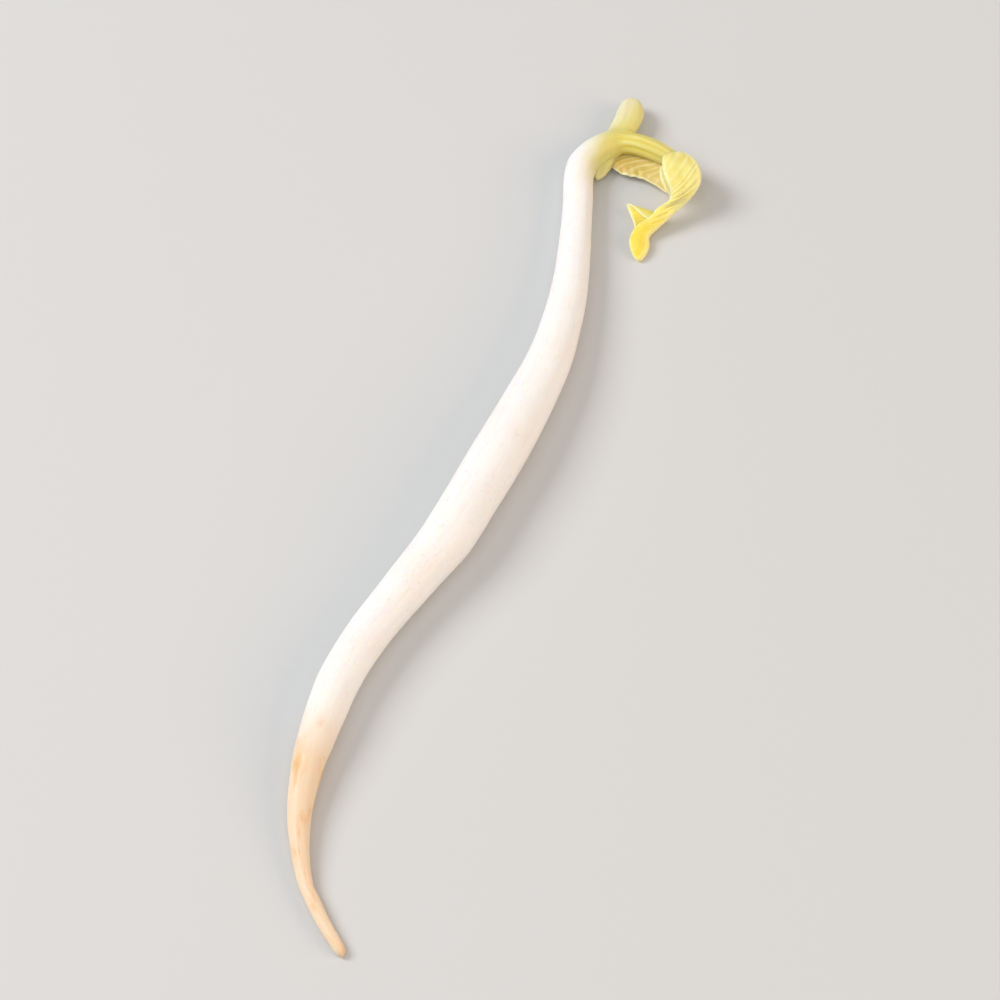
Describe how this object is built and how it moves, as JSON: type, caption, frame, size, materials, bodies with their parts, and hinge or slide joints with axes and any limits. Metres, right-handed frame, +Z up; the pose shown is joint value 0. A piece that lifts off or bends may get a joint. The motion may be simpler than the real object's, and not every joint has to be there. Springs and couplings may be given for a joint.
{
  "type": "mung bean sprout",
  "caption": "Fresh mung bean sprout lying on its side: thick white stem with a crook at the head, tapering tan root, pale green seed leaves and young yellow leaves.",
  "frame": {"origin": "on the ground under the centre of the bounding box of the sprout as it lies", "axes": "+Y from the root towards the leafy head, along the sprout's length; +Z up from the surface that it lies on; +X to the side that the head bends to"},
  "size_m": [0.0272, 0.0682, 0.0036],
  "materials": {
    "stem_white": "moist translucent white skin with fine lengthwise lines",
    "root_tan": "dull tan skin with brown blotches",
    "seed_leaf_green": "smooth pale green flesh",
    "shoot_green": "smooth yellow-green, grooved lengthwise",
    "leaf_yellow": "thin translucent yellow blade with paler veins"
  },
  "bodies": {
    "root": {"hypocotyl": "stem_white", "taproot": "root_tan", "cotyledon_upper": "seed_leaf_green", "cotyledon_lower": "seed_leaf_green", "epicotyl": "shoot_green", "primary_leaf_front": "leaf_yellow", "primary_leaf_back": "leaf_yellow", "terminal_bud": "shoot_green"}
  },
  "joints": []
}
